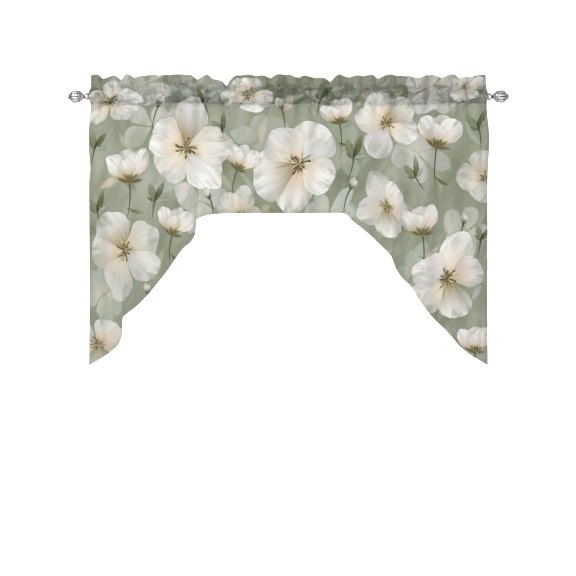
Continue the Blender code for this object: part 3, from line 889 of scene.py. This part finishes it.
def dye_tufts(under):
    """Filaments round each blossom's heart: dark ones with a long grain of pollen, and pale ones."""
    x, y, seed = parts(kept(under, "tufts", "Vector"))
    radius = (x * x + y * y) ** 0.5
    angle = under.math("ARCTAN2", y, x)
    colour = coats(
        under, (fade(radius, 0.02, 0.17) * 0.70, MOSS), (fade(radius, 0.0, 0.05) * 0.75, DARK_STEM)
    )
    for count, first, bend, shortest, longest, thickness, tint in (
        (13, 40.0, 2.6, 0.08, 0.21, 0.013, tone(98, 86, 50)),
        (9, 80.3, -2.2, 0.09, 0.27, 0.014, tone(232, 214, 168)),
        (11, 120.7, 1.8, 0.11, 0.28, 0.014, tone(50, 42, 26)),
    ):
        turn = angle * (count / (2 * math.pi)) + first
        cell = under.math("FLOOR", turn)
        place = {"Vector": vector(cell, seed, 0.0)}
        chance = under.node("ShaderNodeTexWhiteNoise", {"noise_dimensions": "2D"}, place)
        length, presence, _ = parts(chance.output("Color"))
        shown = presence > 0.22
        aside = turn - cell - 0.5 + (chance.output("Value") - 0.5) * 0.7 + (radius - 0.12) * bend
        aside = abs(aside * radius * (2 * math.pi / count))
        end = length * (longest - shortest) + shortest
        width = (radius / end * 0.8 + 0.5) * thickness
        strand = fade(aside / width, 0.6, 1.0) * fade(radius, end - 0.02, end) * shown
        colour = mixed(strand * 0.90, colour, tint)
        if tint[0] < MOSS[0]:
            grain = (aside * aside + ((radius - end) * 0.55) ** 2) ** 0.5
            colour = mixed(fade(grain, 0.017, 0.027) * shown * 0.94, colour, tone(62, 48, 28))
    return colour


cloth_dye, tree = new_finish("printed_cotton")
cloth_at = tree.node("ShaderNodeUVMap", {"uv_map": "cloth"}, {})
across, downwards, _ = parts(cloth_at)
patches = noise(cloth_at, 5.0, 3.0, 0.55)
slant = vector(across * 7.0 + downwards * 2.6, downwards * 2.6 - across * 1.2, 0.3)
strokes = noise(slant, 2.0, 5.0, 0.6, 0.7)
dry_marks = noise(vector(across * 22.0 + downwards * 9.0, downwards * 6.0, 2.3), 1.4, 4.0, 0.7)
fine = noise(cloth_at, 90.0, 3.0, 0.6)
wobble = noise(cloth_at, 40.0, 4.0, 0.6) - 0.5
SAGE = (
    (0.32, tone(118, 124, 102)),
    (0.44, tone(138, 144, 122)),
    (0.55, tone(151, 156, 138)),
    (0.68, tone(176, 180, 168)),
)
ground = coats(
    patches.node("ShaderNodeValToRGB", {"stops": SAGE}, {0: patches * 0.66 + strokes * 0.34}),
    (rise(strokes, 0.5, 0.75) * 0.28, tone(146, 148, 114)),
    (rise(dry_marks, 0.54, 0.70) * 0.26, tone(184, 188, 176)),
    (fade(dry_marks, 0.30, 0.44) * 0.26, tone(114, 120, 98)),
)
colour = dye_ribbons(ground, "washes", wobble, 0.0035)
colour = dye_ghosts(colour, noise(cloth_at, 18.0, 4.0, 0.6) - 0.5, strokes)
colour = dye_ribbons(colour, "leaves", wobble, 0.0)
colour = dye_ribbons(colour, "stems", wobble, 0.0)
for name in PETAL_LAYERS[1:4]:
    colour = dye_petals(colour, name, wobble)
colour = dye_tufts(colour)
colour = dye_petals(colour, "top", wobble)
colour = dye_ribbons(colour, "sepals", wobble, 0.0)
grain = {"data_type": "RGBA", "blend_type": "SOFT_LIGHT"}
colour = colour.node("ShaderNodeMix", grain, {"Factor": 0.10, "A": colour, "B": fine.output("Color")})

# The hems, painted shade: the doubled cloth is painted a little darker as less light comes through it, a thin
# painted shadow line runs along the hem's stitching, and the folded edge is painted darker still as its fold
# shadow.
hem = kept(tree, "hem")
colour = coats(
    colour,
    (fade(hem, HEM_WIDTH - 0.0006, HEM_WIDTH + 0.0006) * 0.07, tone(96, 100, 84)),
    (fade(abs(hem - HEM_WIDTH + 0.0012), 0.0006, 0.0018) * 0.05, tone(80, 86, 70)),
    (fade(hem, 0.0008, 0.0034) * 0.36, tone(122, 121, 113)),
)
# Painted shade: the frill and the pocket are two layers, and no light comes through them as it does below, so
# they are painted darker. The pocket is painted darker still, and the side edges, where they turn back, get a
# painted shadow.
header = abs(downwards)
doubled = fade(header + wobble * 0.05, seam_run - 0.009, seam_run + 0.004)
pale = rise(parts(colour)[0], 0.38, 0.72)
pocket_shade = doubled * rise(header, frill_height - 0.002, frill_height + 0.010) * (1 - pale * 0.75)
side_edge_shade = fade(FLAT_WIDTH / 2 - abs(across), 0.0012, 0.0055) * (doubled * 0.55 + 0.15)
colour = coats(
    colour,
    (doubled * (1 - pale * 0.62), (0.81, 0.80, 0.79), "MULTIPLY"),
    (pocket_shade, (0.87, 0.88, 0.88), "MULTIPLY"),
    (side_edge_shade, tone(88, 92, 82)),
)

# The shirring leaves sharp little crumples, strongest along the pocket's two seams. Their relief is a bump;
# their dark facets get painted shade and their light facets a painted highlight.
above_seam = fade(header, seam_run - 0.008, seam_run + 0.004)
band = rise(header, frill_height - 0.022, frill_height + 0.002) * above_seam
upper_wear = fade(abs(header - frill_height - 0.004), 0.004, 0.024)
lower_wear = fade(abs(header - seam_run + 0.006), 0.002, 0.014) * 0.30
header_wear = rise(header, 0.002, 0.02) * fade(header, seam_run - 0.012, seam_run + 0.004) * 0.35
bent = noise(cloth_at, 30.0, 2.0).output("Color")
sway = {0: bent, 1: (0.030, 0.030, 0.0), 2: cloth_at}
bent = bent.node("ShaderNodeVectorMath", {"operation": "MULTIPLY_ADD"}, sway)
bent_x, bent_y, _ = parts(bent)
squares = {"Vector": vector(bent_x, bent_y * 0.72, 0.0), "Scale": 52.0}
ridges = fade(bent.node("ShaderNodeTexVoronoi", {"feature": "DISTANCE_TO_EDGE"}, squares), 0.0, 0.24)
rumple = 1 - abs(noise(bent, 32.0, 2.0, 0.5) * 2 - 1) * 3.0
puffs = abs(noise(bent, 17.0, 2.0, 0.45) * 2 - 1)
slopes = {
    "Vector": vector(bent_x + bent_y * 0.6, bent_y * 1.2 - bent_x * 0.3, 0.0),
    "Scale": 42.0,
    "Smoothness": 0.35,
}
facing = parts(bent.node("ShaderNodeTexVoronoi", {"feature": "SMOOTH_F1"}, slopes).output("Color"))[0]
crumpled = (band * 0.75 + 0.25) * doubled * (rise(downwards, -0.001, 0.001) * 0.7 + 0.3)
# Painted shade: the crumples' dark facets are multiplied darker.
painted_facet_shade = fade(facing, 0.15, 0.62) * crumpled * (0.80 - pale * 0.38)
colour = mixed(painted_facet_shade, colour, (0.60, 0.63, 0.64), "MULTIPLY")
ground_only = rise(parts(colour)[0], 0.06, 0.17)
colour = coats(
    colour,
    # Painted highlight on the crumples' light facets.
    (rise(facing, 0.50, 0.95) * crumpled * ground_only * (0.34 - pale * 0.30), tone(188, 193, 189)),
    # Painted highlight along the lower seam, which lightens the shade that falls there.
    (fade(abs(header - seam_run), 0.0012, 0.0045) * 0.16, tone(206, 210, 198)),
    (kept(tree, "reverse") * 0.62, tone(206, 209, 201)),
)

# The weave: warp and weft threads about half a millimetre apart.
THREADS = 2 * math.pi / 0.0011
weave = tree.math("SINE", across * THREADS) * tree.math("SINE", downwards * THREADS)
height = (upper_wear + lower_wear + header_wear) * (ridges * 2.0 + rumple * 2.2)
height = height + (band + 0.25) * puffs * doubled * 9.0 + facing * band * 3.0 + weave * 0.04 + fine * 0.05
relief = height.node("ShaderNodeBump", {}, {"Strength": 1.0, "Distance": 0.001, "Height": height})
give(
    cloth_dye,
    {
        "Base Color": colour, "Normal": relief, "Roughness": 0.86, "Specular IOR Level": 0.25,
        "Sheen Weight": 0.12, "Sheen Roughness": 0.5,
    },
)
drape_mesh.materials.append(cloth_dye)

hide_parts("drape")
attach(drape, "root")

# ---- The sewing ----
# Matching thread, machine sewn: one row along each seam of the pocket, through both layers, and
# one round the sides and the lower edge that holds the hems down.

STITCH_PITCH = 0.0034
STITCH_LENGTH = 0.0026
THREAD_THICKNESS = 0.00042


def on_piece(tree):
    """Places on the piece itself, in metres."""
    return tree.node("ShaderNodeTexCoord", {}, {}).output("Object")


thread, tree = new_finish("sage_thread")
twist = noise(on_piece(tree), 1800.0, 1.0)
give(thread, {"Base Color": mixed(twist, tone(150, 160, 140), tone(176, 184, 168)), "Roughness": 0.6})

# The rows of stitches follow rows and columns of the cloth's own grid, on both of its faces.
SIDE_COLUMN = 3
HEM_ROW = rows - 3
raised = normals * THREAD_THICKNESS * 0.25
sewn_sides = slice(FIRST_FRONT + FRONT_SEAM, HEM_ROW + 1)
stitch_rows = []
for face, sign in ((printed, 1), (reverse, -1)):
    lifted = face + raised * sign
    stitch_rows.append(lifted[HEM_ROW, SIDE_COLUMN : columns - SIDE_COLUMN])
    stitch_rows.append(lifted[sewn_sides, SIDE_COLUMN])
    stitch_rows.append(lifted[sewn_sides, columns - 1 - SIDE_COLUMN])
for row in (BACK_SEAM, BACK_UPPER, FIRST_FRONT + FRONT_UPPER, FIRST_FRONT + FRONT_SEAM):
    stitch_rows.append((printed + raised)[row])

guide_mesh = bpy.data.meshes.new("stitch_rows")
starts = np.cumsum([0] + [len(r) for r in stitch_rows])
edges = [(k, k + 1) for first, last in zip(starts, starts[1:]) for k in range(first, last - 1)]
guide_mesh.from_pydata(np.concatenate(stitch_rows), edges, [])
stitching = placed("stitching", guide_mesh)

sewing = bpy.data.node_groups.new("Sewing", "GeometryNodeTree")
sewing.interface.new_socket("Geometry", in_out="INPUT", socket_type="NodeSocketGeometry")
inputs = {}
for name, kind, value in (
    ("Pitch", "NodeSocketFloat", STITCH_PITCH),
    ("Stitch length", "NodeSocketFloat", STITCH_LENGTH),
    ("Thread thickness", "NodeSocketFloat", THREAD_THICKNESS),
    ("Thread", "NodeSocketMaterial", thread),
):
    socket = sewing.interface.new_socket(name, in_out="INPUT", socket_type=kind)
    inputs[socket.identifier] = value
sewing.interface.new_socket("Geometry", in_out="OUTPUT", socket_type="NodeSocketGeometry")


def sewing_node(kind, values, **settings):
    """Adds a node to the sewing's tree, and gives back its first output."""
    made = sewing.nodes.new(kind)
    for name, value in settings.items():
        setattr(made, name, value)
    for name, value in values.items():
        if isinstance(value, bpy.types.NodeSocket):
            sewing.links.new(value, made.inputs[name])
        else:
            made.inputs[name].default_value = value
    return made.outputs[0] if made.outputs else None


given = sewing.nodes.new("NodeGroupInput").outputs
width = given["Thread thickness"]
lines = sewing_node("GeometryNodeMeshToCurve", {"Mesh": given["Geometry"]})
spots = sewing_node("GeometryNodeResampleCurve", {"Curve": lines, "Length": given["Pitch"]}, mode="LENGTH")
heading = sewing_node("GeometryNodeInputTangent", {})
facing = sewing_node("FunctionNodeAlignRotationToVector", {"Vector": heading}, axis="X")
bead = sewing_node("GeometryNodeMeshUVSphere", {"Segments": 6, "Rings": 4, "Radius": 0.5})
size = sewing_node("ShaderNodeCombineXYZ", {"X": given["Stitch length"], "Y": width, "Z": width})
stitch = {"Points": spots, "Instance": bead, "Rotation": facing, "Scale": size}
sewn = sewing_node("GeometryNodeInstanceOnPoints", stitch)
solid = sewing_node("GeometryNodeRealizeInstances", {"Geometry": sewn})
soft = sewing_node("GeometryNodeSetShadeSmooth", {"Geometry": solid})
coloured = sewing_node("GeometryNodeSetMaterial", {"Geometry": soft, "Material": given["Thread"]})
sewing_node("NodeGroupOutput", {"Geometry": coloured})

modifier = stitching.modifiers.new("Sewing", "NODES")
modifier.node_group = sewing
for identifier, value in inputs.items():
    modifier[identifier] = value
evaluated = stitching.evaluated_get(bpy.context.evaluated_depsgraph_get())
sewn_mesh = bpy.data.meshes.new_from_object(evaluated)
stitching.modifiers.clear()
stitching.data = sewn_mesh
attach(stitching, "root")

# ---- The rod ----
# A slim round tube of polished steel, pushed through the pocket. Only a few millimetres of it
# show, between each end of the cloth and the finial's collar.

ROD_SIDES = 96
CHAMFER = 0.0006
rod_low, rod_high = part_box("rod")


def turned_body(name, along, radius, finish, sharpest):
    """A closed body about the rod's axis: a ring at each place along, its radii all round it."""
    turn = 2 * math.pi * np.arange(radius.shape[1]) / radius.shape[1]
    shape = bmesh.new()
    rings = [
        [shape.verts.new(point) for point in ring]
        for ring in grid_points(along, radius * np.cos(turn), radius * np.sin(turn))
    ]
    for ring, following in zip(rings, rings[1:]):
        for k in range(len(ring)):
            after = (k + 1) % len(ring)
            shape.faces.new((ring[k], ring[after], following[after], following[k]))
    shape.faces.new(rings[0])
    shape.faces.new(rings[-1])
    bmesh.ops.recalc_face_normals(shape, faces=shape.faces)
    mesh = bpy.data.meshes.new(name)
    shape.to_mesh(mesh)
    shape.free()
    mesh.shade_smooth()
    mesh.set_sharp_from_angle(angle=math.radians(sharpest))
    mesh.materials.append(finish)
    return placed(name, mesh)


steel, tree = new_finish("polished_steel")
along, aside, up = parts(on_piece(tree))
rubbed = noise(vector(along * 4, aside * 300, up * 300), 6.0, 3.0)
steel_colour = mixed(rubbed, tone(206, 208, 212), tone(228, 229, 231))
give(steel, {"Base Color": steel_colour, "Roughness": rubbed * 0.12 + 0.10, "Metallic": 1.0})

rod_along = np.array((rod_low.x, rod_low.x + CHAMFER, rod_high.x - CHAMFER, rod_high.x))[:, None]
rod_radii = rod_radius - CHAMFER * np.array((1, 0, 0, 1))[:, None] * np.ones(ROD_SIDES)
rod = turned_body("curtain_rod", rod_along, rod_radii, steel, 30)
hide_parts("rod")
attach(rod, "root")

# ---- The finials ----
# Cast metal, plated and polished bright. The grooves, the collar's rim, the neck, the ring and the cap's
# foot are painted dark, as painted shade and painted dark reflection. From the rod outwards: a bead that
# is the socket, a pinched neck, a fluted cup, a ring, a fluted bulb and a small cap with a pip. Each is
# pushed over one end of the rod.

FLUTE_COUNT = 12
FLUTE_TURN = math.radians(5)
FINIAL_STEPS = FLUTE_COUNT * 12
RINGS_A_ROW = 4
SOCKET_DEPTH = 0.0082
socket_radius = rod_radius + 0.0003
collar_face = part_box("finial_right")[0].x

# In millimetres, along from the collar's face and out from the axis, then the flutes' depth as a
# share of that radius.
TURNED = [
    (0, 10.4, 0), (1.4, 11.4, 0), (5.2, 11.8, 0), (9, 11, 0), (10.6, 8.4, 0), (12, 6.1, 0),
    (13, 5.8, 0), (14.4, 6.6, 0.03), (19.4, 12.6, 0.08), (23.6, 16.4, 0.08), (25, 17.1, 0.04),
    (25.6, 17.3, 0), (26.2, 18.1, 0), (27.6, 18.6, 0), (29, 18.1, 0), (29.6, 17.3, 0),
    (30.4, 17.8, 0.06), (32, 19.2, 0.12), (36.8, 20.1, 0.14), (42.4, 20.3, 0.14),
    (47.4, 19.7, 0.14), (51.8, 17.5, 0.14), (55.6, 13.8, 0.14), (58.4, 9.2, 0.04), (59.4, 8, 0),
    (60.2, 8.1, 0), (62, 8, 0), (63.4, 6.8, 0), (64.2, 4, 0), (65, 3, 0), (66.4, 3.2, 0),
    (67.8, 2.6, 0), (68.6, 1, 0),
]
# Where the painted shade and dark reflection go: along from the collar's face, half its width there, and the
# most of it.
PAINTED_DARK_BANDS = (
    (0.0004, 0.0010, 1.0),  # the collar's rim
    (0.0126, 0.0026, 1.0),  # the neck
    (0.0276, 0.0036, 0.50),  # the ring
    (0.0596, 0.0018, 0.66),  # the cap's foot
)
turned_rows = np.array(TURNED) / (1000, 1000, 1)
knots = np.arange(len(TURNED))
at = np.linspace(0, knots[-1], knots[-1] * RINGS_A_ROW + 1)
socket_rows = ((SOCKET_DEPTH, 0.0002, 0.0), (SOCKET_DEPTH, socket_radius, 0.0), (0.0, socket_radius, 0.0))
along, radius, cut = (
    np.concatenate((inside, smooth(knots, column, at)))[:, None]
    for inside, column in zip(np.transpose(socket_rows), turned_rows.T)
)
turn = 2 * math.pi * np.arange(FINIAL_STEPS) / FINIAL_STEPS
groove = 1 - np.abs(np.sin(FLUTE_COUNT / 2 * (turn - FLUTE_TURN)))
fluted = radius * (1 - cut * groove**2)
# Painted shade and painted dark reflection: darkest deep in the flutes' grooves and in the bands listed
# above.
dark = groove**1.3 * np.minimum(cut / 0.1, 1.0)
for place, half_width, most in PAINTED_DARK_BANDS:
    near = 1.6 * np.maximum(1 - np.abs(along - place) / half_width, 0.0)
    dark = np.maximum(dark, np.minimum(near, most))

bright, tree = new_finish("plated_finial")
mottle = noise(on_piece(tree), 320.0, 3.0)
# Painted shade and dark reflection: the metal is painted dark where the groove value is high, and is rougher
# there.
painted_dark_mask = rise(kept(tree, "groove") + (mottle - 0.5) * 0.2, 0.28, 0.74)
give(
    bright,
    {
        "Base Color": mixed(painted_dark_mask, tone(244, 244, 245), tone(62, 62, 64)), "Metallic": 1.0,
        "Roughness": painted_dark_mask * 0.24 + mottle * 0.06 + 0.14, "Specular Tint": (0.92, 0.92, 0.93, 1.0),
    },
)

for side, node in ((1, "finial_right"), (-1, "finial_left")):
    name = node.replace("finial", "turned_finial")
    finial = turned_body(name, side * (collar_face + along), fluted, bright, 50)
    keep(finial.data, "groove", "FLOAT", "POINT", dark)
    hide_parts(node)
    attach(finial, "root")

# ---- The room ----
# A pale floor well below the tails, an even pale surround, and broad soft lamps in front. The
# camera looks straight at the drape from a little over four metres away.

ROD_ABOVE_FLOOR = 2.1
FLOOR_HALF = 9.0
FLOOR_BACK = 3.0
BACKDROP_TOP = 4.2
SWEEP = 2.0  # the radius in which the floor turns up into the backdrop
turns = [k * math.pi / 32 for k in range(17)]
sweep = [(FLOOR_BACK + SWEEP * math.sin(a), SWEEP * (1 - math.cos(a))) for a in turns]
sweep_line = [(-FLOOR_HALF, 0.0), *sweep, (FLOOR_BACK + SWEEP, BACKDROP_TOP)]
floor_mesh = bpy.data.meshes.new("floor")
floor_mesh.from_pydata(
    [(x, y, z - ROD_ABOVE_FLOOR) for y, z in sweep_line for x in (-FLOOR_HALF, FLOOR_HALF)],
    [],
    [(2 * k, 2 * k + 1, 2 * k + 3, 2 * k + 2) for k in range(len(sweep_line) - 1)],
)
floor_mesh.shade_smooth()
floor = placed("floor", floor_mesh)
pale, _ = new_finish("pale_floor")
give(pale, {"Base Color": (0.80, 0.80, 0.80, 1.0), "Roughness": 0.95, "Specular IOR Level": 0.0})
floor_mesh.materials.append(pale)

world = bpy.data.worlds.new("pale_room")
world.use_nodes = True
bpy.context.scene.world = world
surround = world.node_tree.nodes["Background"]
surround.inputs["Color"].default_value = (1.0, 1.0, 1.0, 1.0)
surround.inputs["Strength"].default_value = 0.40

# Three lamps light the drape and two the backdrop behind it.
for name, place, aim, power, width, height, spread in (
    ("key_lamp", (-1.5, -3.3, 1.7), (0, 0, -0.3), 43.0, 3.0, 0.54, 120),
    ("front_lamp", (0.0, -4.6, 0.35), (0, 0, -0.3), 30.0, 6.6, 1.5, 140),
    ("low_lamp", (0.0, -2.3, -2.0), (0, 0, -0.2), 10.0, 3.2, 0.9, 150),
    ("backdrop_lamp_left", (-2.6, 1.9, 1.2), (-0.6, 5.0, -0.8), 78.0, 1.5, 1.5, 110),
    ("backdrop_lamp_right", (2.6, 1.9, 1.2), (0.6, 5.0, -0.8), 78.0, 1.5, 1.5, 110),
):
    lamp = bpy.data.lights.new(name, "AREA")
    lamp.energy = power
    lamp.shape = "RECTANGLE"
    lamp.size, lamp.size_y = width, height
    lamp.spread = math.radians(spread)
    lamp_object = placed(name, lamp)
    lamp_object.location = place
    lamp_object.rotation_euler = (Vector(aim) - Vector(place)).to_track_quat("-Z", "Y").to_euler()

camera = bpy.data.cameras.new("camera")
camera.lens = 85.0
camera.sensor_width = 36.0
camera_object = placed("camera", camera)
camera_object.location = (-0.001, -4.280, -0.602)
camera_object.rotation_euler = (math.radians(90), 0, 0)
bpy.context.scene.camera = camera_object
bpy.context.scene.view_settings.view_transform = "Standard"
